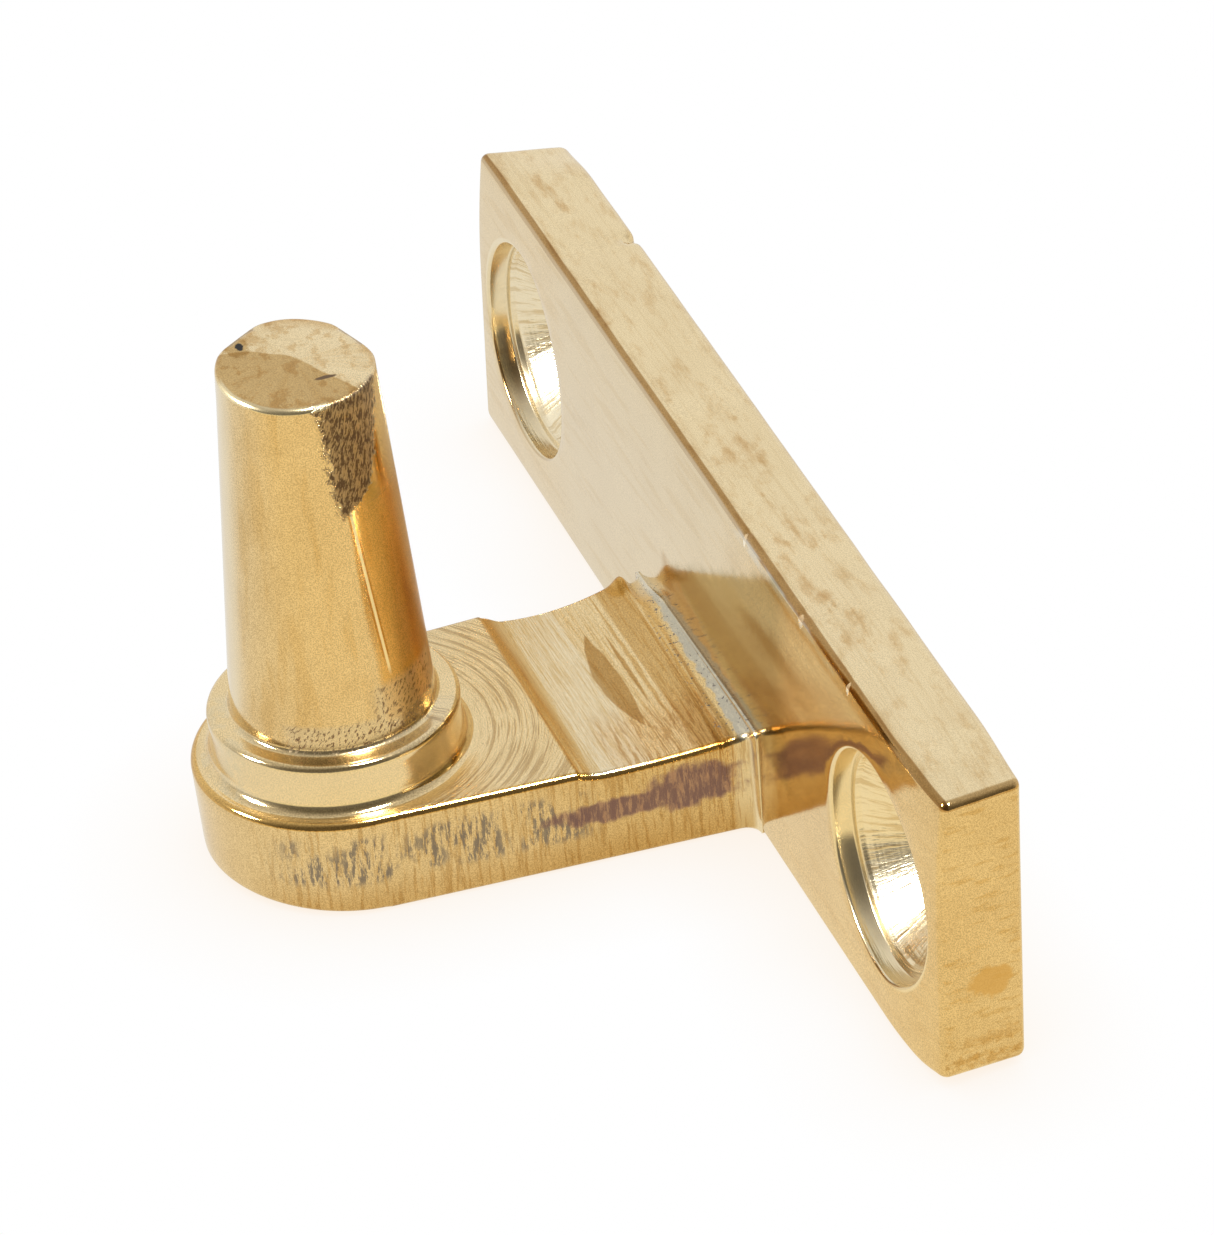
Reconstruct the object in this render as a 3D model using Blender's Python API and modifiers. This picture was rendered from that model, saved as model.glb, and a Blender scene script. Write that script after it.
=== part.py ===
"""Casement stay pin: a fixing plate, a cranked arm and an upright tapered stay pin, all brass.

Run with: blender --background --python part.py

Axes: X runs along the plate, -Y points from the frame to the pin, +Z is up.
Origin: the centre of the plate's back face, which lies against the window frame.
"""

import math

import bmesh
import bpy
from mathutils import Matrix

# Fixing plate (metres)
PLATE_LENGTH = 0.0500
PLATE_HEIGHT = 0.0130
PLATE_THICKNESS = 0.0038
PLATE_EDGE_ROUND = 0.0003

# Countersunk screw holes
HOLE_SPACING = 0.0390
HOLE_MOUTH_RADIUS = 0.00445
HOLE_WALL_DEPTH = 0.0008
HOLE_LEDGE_RADIUS = 0.0041
HOLE_LEDGE_DEPTH = 0.0011
HOLE_SHANK_RADIUS = 0.0023
HOLE_CONE_DEPTH = 0.0029
HOLE_STEPS = 64

# Arm: its underside is flush with the plate's lower edge
ARM_ROOT_WIDTH = 0.0132
ARM_END_RADIUS = 0.0056
ARM_THICKNESS = 0.0042
ARM_EDGE_ROUND = 0.0003
PIN_AXIS_FROM_BACK = 0.0180
SCOOP_START = 0.0079
SCOOP_RADIUS = 0.0128
SCOOP_ENTRY_SLOPE = 0.169
SCOOP_STEPS = 12
ARM_END_STEPS = 40

# Arm tenon, let into the front of the plate
TENON_WIDTH = 0.0080
TENON_HEIGHT = 0.0026
TENON_LENGTH = 0.0022

# Stay pin
PIN_TOP_RADIUS = 0.00295
PIN_BASE_RADIUS = 0.0039
PIN_HEIGHT = 0.0167
PIN_RIM_ROUND = 0.00035
PIN_BASE_FILLET = 0.00025
COLLAR_RADIUS = 0.0048
COLLAR_HEIGHT = 0.00205
COLLAR_RIM_ROUND = 0.0003
COLLAR_FOOT_RADIUS = 0.0053
COLLAR_FOOT_FILLET = 0.0005
PIN_STEPS = 64
ARC_STEPS = 4

# Spigot under the collar, riveted over in a countersink below the arm
SPIGOT_RADIUS = 0.0024
RIVET_HEAD_RADIUS = 0.0034
RIVET_HEAD_DEPTH = 0.0012

# Stands an outline drawn as (Y, Z) on the XY plane upright in the YZ plane
SECTION_TO_WORLD = Matrix(((0, 0, 1, 0), (1, 0, 0, 0), (0, 1, 0, 0), (0, 0, 0, 1)))

# Clearance between pieces
GAP = 0.0003
MERGE = 0.00001
SMOOTH_ANGLE = math.radians(35)

# Derived positions
PLATE_FRONT_Y = -PLATE_THICKNESS
PIN_AXIS_Y = -PIN_AXIS_FROM_BACK
ARM_ROOT_Y = PLATE_FRONT_Y - GAP
ARM_ROOT_HALF_WIDTH = ARM_ROOT_WIDTH / 2
UNDERSIDE_Z = -PLATE_HEIGHT / 2
ARM_TOP_Z = UNDERSIDE_Z + ARM_THICKNESS
TENON_TIP_Y = ARM_ROOT_Y + TENON_LENGTH + GAP
TENON_CENTRE_Z = UNDERSIDE_Z + ARM_THICKNESS / 2
PIN_FOOT_Z = ARM_TOP_Z + GAP


def clear_scene():
    for obj in list(bpy.data.objects):
        bpy.data.objects.remove(obj, do_unlink=True)


def new_collection(name):
    collection = bpy.data.collections.new(name)
    bpy.context.scene.collection.children.link(collection)
    return collection


def brass(name, colour, roughness):
    material = bpy.data.materials.new(name)
    material.use_nodes = True
    shader = material.node_tree.nodes["Principled BSDF"]
    shader.inputs["Base Color"].default_value = (*colour, 1.0)
    shader.inputs["Metallic"].default_value = 1.0
    shader.inputs["Roughness"].default_value = roughness
    return material


def add_object(name, mesh, collection, location=(0, 0, 0)):
    obj = bpy.data.objects.new(name, mesh)
    obj.location = location
    collection.objects.link(obj)
    return obj


def add_box(name, size, centre, collection):
    mesh = bpy.data.meshes.new(name)
    bm = bmesh.new()
    bmesh.ops.create_cube(bm, size=1.0)
    bmesh.ops.scale(bm, vec=size, verts=bm.verts)
    bm.to_mesh(mesh)
    bm.free()
    return add_object(name, mesh, collection, centre)


def arc(centre, radius, start, end, steps=ARC_STEPS):
    """Points along an arc in the profile plane, angles in degrees."""
    points = []
    for i in range(steps + 1):
        angle = math.radians(start + (end - start) * i / steps)
        points.append((centre[0] + radius * math.cos(angle), centre[1] + radius * math.sin(angle)))
    return points


def add_turned(name, profile, steps, collection, location=(0, 0, 0)):
    """Turn a profile of (radius, height) points, listed from the top down, about Z."""
    mesh = bpy.data.meshes.new(name)
    points = [(radius, 0.0, height) for radius, height in profile]
    edges = [(i, i + 1) for i in range(len(points) - 1)]
    mesh.from_pydata(points, edges, [])
    obj = add_object(name, mesh, collection, location)
    screw = obj.modifiers.new("Turn", "SCREW")
    screw.axis = "Z"
    screw.steps = steps
    screw.render_steps = steps
    screw.use_merge_vertices = True
    screw.merge_threshold = MERGE
    return obj


def add_prism(name, outline, thickness, collection):
    """A solid of a flat outline in XY, centred on Z = 0, as a mesh object."""
    curve = bpy.data.curves.new(name + "_outline", "CURVE")
    curve.dimensions = "2D"
    curve.fill_mode = "BOTH"
    curve.extrude = thickness / 2
    spline = curve.splines.new("POLY")
    spline.points.add(len(outline) - 1)
    for point, (x, y) in zip(spline.points, outline):
        point.co = (x, y, 0.0, 1.0)
    spline.use_cyclic_u = True
    source = add_object(name + "_outline", curve, collection)
    bpy.context.view_layer.update()
    evaluated = source.evaluated_get(bpy.context.evaluated_depsgraph_get())
    mesh = bpy.data.meshes.new_from_object(evaluated)
    bm = bmesh.new()
    bm.from_mesh(mesh)
    bmesh.ops.remove_doubles(bm, verts=bm.verts, dist=MERGE)
    bm.to_mesh(mesh)
    bm.free()
    bpy.data.objects.remove(source, do_unlink=True)
    mesh.name = name
    return add_object(name, mesh, collection)


def boolean(obj, cutter, operation="DIFFERENCE"):
    modifier = obj.modifiers.new(operation.title() + "_" + cutter.name, "BOOLEAN")
    modifier.operation = operation
    modifier.object = cutter
    modifier.solver = "EXACT"
    cutter.hide_render = True
    cutter.display_type = "WIRE"


def bevel(obj, width, segments, angle=30):
    modifier = obj.modifiers.new("Edge_round", "BEVEL")
    modifier.width = width
    modifier.segments = segments
    modifier.limit_method = "ANGLE"
    modifier.angle_limit = math.radians(angle)


def shade_round(obj):
    """Keeps the modifiers' result as the object's mesh, smooth but for its sharp edges."""
    bpy.context.view_layer.update()
    evaluated = obj.evaluated_get(bpy.context.evaluated_depsgraph_get())
    mesh = bpy.data.meshes.new_from_object(evaluated)
    obj.modifiers.clear()
    obj.data = mesh
    mesh.shade_smooth()
    mesh.set_sharp_from_angle(angle=SMOOTH_ANGLE)


def hole_profile():
    """Screw hole from the plate's front face (height 0) to beyond its back face."""
    overshoot = 2 * GAP
    return [
        (0.0, overshoot),
        (HOLE_MOUTH_RADIUS, overshoot),
        (HOLE_MOUTH_RADIUS, -HOLE_WALL_DEPTH),
        (HOLE_LEDGE_RADIUS, -HOLE_WALL_DEPTH),
        (HOLE_LEDGE_RADIUS, -HOLE_LEDGE_DEPTH),
        (HOLE_SHANK_RADIUS, -HOLE_CONE_DEPTH),
        (HOLE_SHANK_RADIUS, -PLATE_THICKNESS - overshoot),
        (0.0, -PLATE_THICKNESS - overshoot),
    ]


def build_fixing_plate(parts, cutters):
    centre = (0.0, PLATE_FRONT_Y / 2, 0.0)
    plate = add_box("fixing_plate", (PLATE_LENGTH, PLATE_THICKNESS, PLATE_HEIGHT), centre, parts)
    bevel(plate, PLATE_EDGE_ROUND, 2)
    for name, side in (("hole_left", -1), ("hole_right", 1)):
        place = (side * HOLE_SPACING / 2, PLATE_FRONT_Y, 0.0)
        hole = add_turned(name, hole_profile(), HOLE_STEPS, cutters, place)
        hole.rotation_euler.x = math.pi / 2
        boolean(plate, hole)
    depth = TENON_LENGTH + 2 * GAP
    mortise_size = (TENON_WIDTH + 2 * GAP, 2 * depth, TENON_HEIGHT + 2 * GAP)
    mortise = add_box("mortise", mortise_size, (0.0, PLATE_FRONT_Y, TENON_CENTRE_Z), cutters)
    boolean(plate, mortise)
    return plate


def arm_plan():
    """Seen from above: sides that close in from the plate to a half round about the pin axis."""
    outline = [(ARM_ROOT_HALF_WIDTH, ARM_ROOT_Y), (-ARM_ROOT_HALF_WIDTH, ARM_ROOT_Y)]
    outline += arc((0.0, PIN_AXIS_Y), ARM_END_RADIUS, 180, 360, ARM_END_STEPS)
    return outline


def scoop_height(distance):
    """Height of the scoop's floor above the seat, at a distance past the end of the seat."""
    return distance ** 2 / (2 * SCOOP_RADIUS) - SCOOP_ENTRY_SLOPE * distance


def arm_section():
    """Seen from the side, as (Y, Z): flat seat at the pin, then a scoop rising to the plate."""
    overshoot = 4 * GAP
    outer_y = PIN_AXIS_Y - ARM_END_RADIUS - overshoot
    inner_y = ARM_ROOT_Y + overshoot
    start_y = PIN_AXIS_Y + SCOOP_START
    run = inner_y - start_y
    section = [(outer_y, UNDERSIDE_Z), (inner_y, UNDERSIDE_Z)]
    for i in range(SCOOP_STEPS, -1, -1):
        distance = run * i / SCOOP_STEPS
        section.append((start_y + distance, ARM_TOP_Z + scoop_height(distance)))
    section.append((outer_y, ARM_TOP_Z))
    return section


def spigot_profile(clearance, top_z):
    """Spigot with its countersunk riveted end, as (radius, height) from the top down."""
    return [
        (SPIGOT_RADIUS + clearance, top_z),
        (SPIGOT_RADIUS + clearance, UNDERSIDE_Z + RIVET_HEAD_DEPTH),
        (RIVET_HEAD_RADIUS + clearance, UNDERSIDE_Z),
    ]


def build_arm(parts, cutters):
    arm = add_prism("arm", arm_section(), 2 * ARM_ROOT_WIDTH, parts)
    arm.data.transform(SECTION_TO_WORLD)
    plan = add_prism("arm_plan", arm_plan(), 4 * ARM_THICKNESS, cutters)
    boolean(arm, plan, "INTERSECT")
    bevel(arm, ARM_EDGE_ROUND, 2)
    # the tenon's block is twice as long as what shows, and half of it is buried in the arm
    tenon_size = (TENON_WIDTH, 2 * TENON_LENGTH, TENON_HEIGHT)
    tenon = add_box("tenon", tenon_size, (0.0, TENON_TIP_Y - TENON_LENGTH, TENON_CENTRE_Z), cutters)
    boolean(arm, tenon, "UNION")
    overshoot = 2 * GAP
    bore_profile = [(0.0, ARM_TOP_Z + overshoot)]
    bore_profile += spigot_profile(GAP, ARM_TOP_Z + overshoot)
    bore_profile.append((RIVET_HEAD_RADIUS + GAP, UNDERSIDE_Z - overshoot))
    bore_profile.append((0.0, UNDERSIDE_Z - overshoot))
    bore = add_turned("spigot_bore", bore_profile, PIN_STEPS, cutters, (0.0, PIN_AXIS_Y, 0.0))
    boolean(arm, bore)
    return arm


def rim(radius, z, round_radius):
    """Rounded outer edge of a turned shoulder, from its top face to its side."""
    return arc((radius - round_radius, z - round_radius), round_radius, 90, 0)


def fillet(radius, z, fillet_radius):
    """Hollow corner where a turned side meets the face below it."""
    return arc((radius + fillet_radius, z + fillet_radius), fillet_radius, 180, 270)


def pin_profile():
    """Stay pin from the top of the taper down to the riveted end of the spigot."""
    top_z = ARM_TOP_Z + PIN_HEIGHT
    ledge_z = ARM_TOP_Z + COLLAR_HEIGHT
    profile = [(0.0, top_z)]
    profile += rim(PIN_TOP_RADIUS, top_z, PIN_RIM_ROUND)
    profile += fillet(PIN_BASE_RADIUS, ledge_z, PIN_BASE_FILLET)
    profile += rim(COLLAR_RADIUS, ledge_z, COLLAR_RIM_ROUND)
    profile += fillet(COLLAR_FOOT_RADIUS - COLLAR_FOOT_FILLET, PIN_FOOT_Z, COLLAR_FOOT_FILLET)
    profile += spigot_profile(0.0, PIN_FOOT_Z)
    profile.append((0.0, UNDERSIDE_Z))
    return profile


def build_stay_pin(parts):
    return add_turned("stay_pin", pin_profile(), PIN_STEPS, parts, (0.0, PIN_AXIS_Y, 0.0))


def main():
    clear_scene()
    parts = new_collection("casement_stay_pin")
    cutters = new_collection("cutters")
    plate = build_fixing_plate(parts, cutters)
    arm = build_arm(parts, cutters)
    pin = build_stay_pin(parts)
    plate.data.materials.append(brass("brass_plate", (0.82, 0.66, 0.38), 0.16))
    arm.data.materials.append(brass("brass_arm", (0.80, 0.62, 0.32), 0.22))
    pin.data.materials.append(brass("brass_pin", (0.84, 0.64, 0.30), 0.14))
    for obj in (plate, arm, pin):
        shade_round(obj)


main()
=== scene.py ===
import math

import bmesh
import bpy
from mathutils import Matrix, Vector, geometry, noise


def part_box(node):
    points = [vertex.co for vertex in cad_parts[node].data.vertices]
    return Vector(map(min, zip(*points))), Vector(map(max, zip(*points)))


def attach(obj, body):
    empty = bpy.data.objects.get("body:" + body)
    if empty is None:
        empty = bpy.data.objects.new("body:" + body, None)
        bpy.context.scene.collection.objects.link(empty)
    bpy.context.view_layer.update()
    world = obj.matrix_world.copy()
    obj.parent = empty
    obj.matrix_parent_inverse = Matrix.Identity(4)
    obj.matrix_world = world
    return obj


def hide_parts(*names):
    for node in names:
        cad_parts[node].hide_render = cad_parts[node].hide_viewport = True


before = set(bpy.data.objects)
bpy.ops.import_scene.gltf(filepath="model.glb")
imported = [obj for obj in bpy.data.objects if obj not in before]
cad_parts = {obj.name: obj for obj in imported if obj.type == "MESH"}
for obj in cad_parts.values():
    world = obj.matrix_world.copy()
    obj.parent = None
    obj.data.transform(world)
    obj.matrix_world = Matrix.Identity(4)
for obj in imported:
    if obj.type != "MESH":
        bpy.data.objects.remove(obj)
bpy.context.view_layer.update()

MM = 0.001

# ---------------------------------------------------------------- places taken from the frame
PLATE_LOW, PLATE_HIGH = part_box("fixing_plate")
ARM_LOW, ARM_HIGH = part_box("arm")
PIN_LOW, PIN_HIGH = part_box("stay_pin")

PLATE_HALF_LENGTH = (PLATE_HIGH.x - PLATE_LOW.x) / 2
PLATE_HALF_HEIGHT = (PLATE_HIGH.z - PLATE_LOW.z) / 2
PLATE_THICKNESS = PLATE_HIGH.y - PLATE_LOW.y
FRONT_Y = PLATE_LOW.y
UNDERSIDE_Z = ARM_LOW.z
PIN_Y = (PIN_LOW.y + PIN_HIGH.y) / 2
PIN_TOP_Z = PIN_HIGH.z
ARM_END_RADIUS = PIN_Y - ARM_LOW.y
FOOT_RADIUS = (PIN_HIGH.x - PIN_LOW.x) / 2

# ---------------------------------------------------------------- shape of the plate
HOLE_X = 19.5 * MM
TOP_CORNER = 0.42 * MM
LOW_CORNER = 0.5 * MM
FRONT_RIM = 0.36 * MM
BACK_RIM = 0.38 * MM
OUTLINE_STEP = 0.2 * MM
FRONT_GRID = 0.45 * MM
BACK_GRID = 0.9 * MM
EDGE_MARGIN = 1.0 * MM
HOLE_POINTS = 144
HOLE_MOUTH = 4.45 * MM
HOLE_LIP = 0.14 * MM
HOLE_BACK_LIP = 0.08 * MM
HOLE_WALL = 0.8 * MM
HOLE_LEDGE = 4.1 * MM
HOLE_LEDGE_DEPTH = 1.1 * MM
HOLE_SHANK = 2.3 * MM
HOLE_CONE_DEPTH = 2.9 * MM

# ---------------------------------------------------------------- hand finishing of the plate
PLATE_LEAN = 0.017
CROWN_START_Z = 1.0 * MM
CROWN = 0.28 * MM
NEAR_FALL_X = 20.0 * MM
NEAR_FALL = 0.45 * MM
NEAR_END_SLANT = 0.25 * MM
NEAR_END_BACK_IN = 0.4 * MM
FAR_END_SLANT = 0.5 * MM
FAR_END_BACK_OUT = 0.35 * MM
NEAR_TOP_FRONT_FALL = 0.28 * MM
NEAR_TOP_BACK_FALL = 0.35 * MM
FAR_TOP_BACK_FALL = 0.45 * MM
NEAR_LOW_BACK_RISE = 0.12 * MM
NEAR_LOW_FRONT_RISE = 0.22 * MM
TOP_ZONE_Z = 0.88 * PLATE_HALF_HEIGHT
TOP_EDGE_Z = 0.92 * PLATE_HALF_HEIGHT
TOP_FACE_Z = 0.93 * PLATE_HALF_HEIGHT
EDGE_SHARE = 0.12
BACK_NICK_X = -15.5 * MM
BACK_NICK_WIDTH = 0.3 * MM
BACK_NICK_DROP = 0.24 * MM
BACK_NICK_INWARD = 0.14 * MM
FRONT_NICK_WIDTH = 0.16 * MM
FRONT_NICKS = ((6.2 * MM, 0.06 * MM), (12.1 * MM, 0.05 * MM), (16.9 * MM, 0.03 * MM))
TOP_RIPPLE = 0.03 * MM
TOP_RIPPLES_PER_METRE = 400

# ---------------------------------------------------------------- shape of the arm
ARM_TOP_Z = UNDERSIDE_Z + 4.2 * MM
ARM_NEAR_ROOT = ARM_HIGH.x
ARM_FAR_ROOT = 5.9 * MM
ARM_TOP_RIM = 0.32 * MM
ARM_LOW_RIM = 0.3 * MM
SEAT_END_Y = PIN_Y + 7.5 * MM
SEAT_STEP = 0.06 * MM
SCOOP_DEPTH_FAR = 0.58 * MM
SCOOP_DEPTH_NEAR = 0.15 * MM
TIP_Y = -4.75 * MM
TIP_RISE = 0.22 * MM
TIP_DIP = 0.32 * MM
SEAM_Y = -4.70 * MM
SEAM_SKEW = -0.025
SEAM_GROOVE = 0.05 * MM
ROOT_FILLET = 0.6 * MM
FAR_ROOT_LIFT = 0.08
NEAR_ROOT_LIFT = 0.55
ROOT_OVERLAP = 0.3 * MM
ARM_ACROSS = 84
ARM_END_STEPS = 72
SEAT_ROWS = 24
SCOOP_MIDDLE = 2.6 * MM
SCOOP_HALF_LENGTH = 3.3 * MM
SPIGOT_GAP = 0.02 * MM
RIVET_GAP = 0.03 * MM
END_WEAR_DIRECTION = Vector((0.30, -0.95))
END_UNDERCUT = 0.22 * MM

# ---------------------------------------------------------------- shape of the pin
TOP_RADIUS = 2.95 * MM
TOP_RIM = 0.24 * MM
TOP_CROWN = 0.10 * MM
BASE_RADIUS = 3.9 * MM
BASE_FILLET = 0.25 * MM
COLLAR_RADIUS = 4.8 * MM
COLLAR_HEIGHT = 2.05 * MM
COLLAR_RIM = 0.28 * MM
FOOT_FILLET = 0.5 * MM
SPIGOT_RADIUS = 2.4 * MM
RIVET_RADIUS = 3.4 * MM
RIVET_DEPTH = 1.2 * MM
TURNED_STEPS = 180
WORN_TOP_START_Z = PIN_TOP_Z - 1.4 * MM
WORN_TOP_FULL_Z = PIN_TOP_Z - 0.4 * MM
TOP_TILT = 0.20 * MM
PIN_RIPPLE = 0.03 * MM
PIN_RIPPLES_PER_METRE = 700
RIGHTWARD = Vector((0.285, 0.959))
TOP_CUT = 2.62 * MM
TOP_CUT_DIRECTIONS = (Vector((-0.847, -0.531)), Vector((-0.347, 0.938)))

# ---------------------------------------------------------------- camera
CAMERA_AZIMUTH = 73.456
CAMERA_ELEVATION = 33.850
CAMERA_ROLL = -5.188
CAMERA_DISTANCE = 304.43 * MM
CAMERA_TARGET = Vector((-1.335, -6.625, -0.904)) * MM
CAMERA_LENS = 233.2
AWAY = Vector((-0.959, 0.285, 0.0))


# ================================================================ mesh helpers
def smoothstep(low, high, value):
    t = min(1.0, max(0.0, (value - low) / (high - low)))
    return t * t * (3 - 2 * t)


def bump_at(value, centre, width):
    """A smooth hill, 1 at the centre."""
    return math.exp(-((value - centre) / width) ** 2)


def arc(radius, steps):
    """(inset, rise) pairs of a quarter round, from lying flat to standing upright."""
    pairs = []
    for i in range(steps + 1):
        angle = math.pi / 2 * i / steps
        pairs.append((radius * (1 - math.sin(angle)), radius * (1 - math.cos(angle))))
    return pairs


def evenly(start, end, count):
    """Values from start up to, but not including, end."""
    return [start + (end - start) * i / count for i in range(count)]


def ring_points(radius, steps, centre_x=0.0):
    """Points of a circle as (across, up) pairs."""
    points = []
    for i in range(steps):
        angle = 2 * math.pi * i / steps
        points.append((centre_x + radius * math.cos(angle), radius * math.sin(angle)))
    return points


def add_ring(bm, points):
    return [bm.verts.new(point) for point in points]


def bridge(bm, ring_a, ring_b, closed=True):
    """Quads between two rings of the same length."""
    count = len(ring_a)
    last = count if closed else count - 1
    for i in range(last):
        j = (i + 1) % count
        bm.faces.new((ring_a[i], ring_a[j], ring_b[j], ring_b[i]))


def bridge_all(bm, rings, closed=True):
    for ring_a, ring_b in zip(rings, rings[1:]):
        bridge(bm, ring_a, ring_b, closed)


def ring_edges(bm, ring):
    edges = []
    for i, vert in enumerate(ring):
        edges.append(bm.edges.get((vert, ring[(i + 1) % len(ring)])))
    return edges


def fill_between(bm, rings):
    """Flat fill between an outer ring and the rings of the holes in it."""
    edges = []
    for ring in rings:
        edges += ring_edges(bm, ring)
    bmesh.ops.triangle_fill(bm, use_beauty=True, use_dissolve=False, edges=edges)


def finish_mesh(name, bm, deform=None):
    if deform is not None:
        for vert in bm.verts:
            vert.co = deform(vert.co)
    bmesh.ops.recalc_face_normals(bm, faces=bm.faces)
    mesh = bpy.data.meshes.new(name)
    bm.to_mesh(mesh)
    bm.free()
    mesh.shade_smooth()
    piece = bpy.data.objects.new(name, mesh)
    bpy.context.scene.collection.objects.link(piece)
    return piece


def weight_normals(piece):
    """Flat faces keep their own normal, so a polished face reflects like a flat mirror."""
    modifier = piece.modifiers.new("Weighted_normals", "WEIGHTED_NORMAL")
    modifier.weight = 100
    modifier.keep_sharp = True


# ================================================================ fixing plate
def rounded_corner(half_x, half_z, side_x, side_z, start):
    """Points and outward normals of one corner, anticlockwise from the start angle."""
    corner = TOP_CORNER if side_z > 0 else LOW_CORNER
    centre = Vector((side_x * (half_x - corner), side_z * (half_z - corner)))
    points = []
    for i in range(9):
        angle = math.radians(start + 90 * i / 8)
        normal = Vector((math.cos(angle), math.sin(angle)))
        points.append((centre + normal * corner, normal))
    return points


def rounded_outline(half_x, half_z, step):
    """Points and outward normals round a rectangle with rounded corners."""
    places = ((1, 1, 0), (-1, 1, 90), (-1, -1, 180), (1, -1, 270))
    corners = [rounded_corner(half_x, half_z, *place) for place in places]
    outline = []
    for corner, following in zip(corners, corners[1:] + corners[:1]):
        outline += corner
        start, normal = corner[-1]
        travel = following[0][0] - start
        count = max(1, round(travel.length / step))
        outline += [(start + travel * i / count, normal) for i in range(1, count)]
    return outline


def plate_section():
    """(inset, y) across the plate's edge from the front face to the back face."""
    section = [(inset, FRONT_Y + rise) for inset, rise in arc(FRONT_RIM, 8)]
    for y in evenly(FRONT_Y + FRONT_RIM, -BACK_RIM, 8)[1:]:
        section.append((0.0, y))
    section += [(inset, -rise) for inset, rise in reversed(arc(BACK_RIM, 6))]
    return section


def hole_section():
    """(radius, y) down a screw hole: lip, short wall, ledge, countersink, shank hole, back lip."""
    section = [(HOLE_MOUTH + inset, FRONT_Y + rise) for inset, rise in arc(HOLE_LIP, 4)]
    ledge_y = FRONT_Y + HOLE_WALL
    cone_y = FRONT_Y + HOLE_LEDGE_DEPTH
    cone_mouth = HOLE_LEDGE - 0.1 * MM
    section.append((HOLE_MOUTH - 0.02 * MM, ledge_y - 0.06 * MM))
    section.append((HOLE_MOUTH - 0.08 * MM, ledge_y))
    section.append((HOLE_LEDGE + 0.08 * MM, ledge_y + 0.04 * MM))
    section.append((HOLE_LEDGE, ledge_y + 0.08 * MM))
    section.append((HOLE_LEDGE - 0.02 * MM, cone_y - 0.05 * MM))
    for i in range(9):
        share = i / 8
        radius = cone_mouth + (HOLE_SHANK - cone_mouth) * share
        section.append((radius, cone_y + (HOLE_CONE_DEPTH - HOLE_LEDGE_DEPTH) * share))
    section.append((HOLE_SHANK, -0.15 * MM))
    section.append((HOLE_SHANK + HOLE_BACK_LIP, 0.0))
    return section


def plate_ends(x, y, z):
    """Ends a little out of square, their back corners rubbed down."""
    back = 1 + y / PLATE_THICKNESS
    front = 1 - back
    up = z / PLATE_HALF_HEIGHT
    along = x / PLATE_HALF_LENGTH
    near = smoothstep(0.6, 1.0, along)
    far = smoothstep(0.6, 1.0, -along)
    near_tip = smoothstep(0.88, 1.0, along)
    near_rub = smoothstep(0.80, 1.0, along) ** 1.5
    far_rub = smoothstep(0.82, 1.0, -along) ** 1.5
    over = max(0.0, up) ** 4
    under = max(0.0, -up) ** 4
    moved_x = x + (NEAR_END_SLANT * up - NEAR_END_BACK_IN * back) * near
    moved_x += (FAR_END_SLANT * up + FAR_END_BACK_OUT * back * max(0.0, up)) * far
    moved_z = z - (NEAR_TOP_FRONT_FALL * front * near_tip + NEAR_TOP_BACK_FALL * back * near_rub) * over
    moved_z -= FAR_TOP_BACK_FALL * back * far_rub * over
    moved_z += (NEAR_LOW_BACK_RISE + NEAR_LOW_FRONT_RISE * front) * near_tip ** 2 * under
    return moved_x, moved_z


def worn_plate(point):
    """Hand finishing: a slight lean, a crowned front, a thinner near end and a few nicks."""
    x, y, z = point
    front = -y / PLATE_THICKNESS
    crown = max(0.0, (z - CROWN_START_Z) / (PLATE_HALF_HEIGHT - CROWN_START_Z))
    fall = max(0.0, (x - NEAR_FALL_X) / (PLATE_HALF_LENGTH - NEAR_FALL_X))
    moved_x, moved_z = plate_ends(x, y, z)
    moved_y = y + PLATE_LEAN * (z + PLATE_HALF_HEIGHT)
    moved_y += front * (CROWN * crown ** 2 + NEAR_FALL * fall ** 2)
    if z > TOP_ZONE_Z and front < EDGE_SHARE:
        nick = bump_at(x, BACK_NICK_X, BACK_NICK_WIDTH)
        moved_z -= BACK_NICK_DROP * nick
        moved_y -= BACK_NICK_INWARD * nick
    if z > TOP_EDGE_Z and front > 1 - EDGE_SHARE:
        for place, depth in FRONT_NICKS:
            moved_z -= depth * bump_at(x, place, FRONT_NICK_WIDTH)
    if z > TOP_FACE_Z:
        moved_z += noise.noise(Vector((x, y, z)) * TOP_RIPPLES_PER_METRE) * TOP_RIPPLE
    return Vector((moved_x, moved_y, moved_z))


def grid_points(spacing, inset, holes_radius):
    """Points inside the plate's face, clear of its edge and of the screw holes."""
    half_x = PLATE_HALF_LENGTH - inset
    half_z = PLATE_HALF_HEIGHT - inset
    columns = round(2 * half_x / spacing)
    rows = round(2 * half_z / spacing)
    points = []
    for i in range(columns + 1):
        x = -half_x + 2 * half_x * i / columns
        for j in range(rows + 1):
            z = -half_z + 2 * half_z * j / rows
            if math.hypot(abs(x) - HOLE_X, z) > holes_radius:
                points.append((x, z))
    return points


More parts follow.
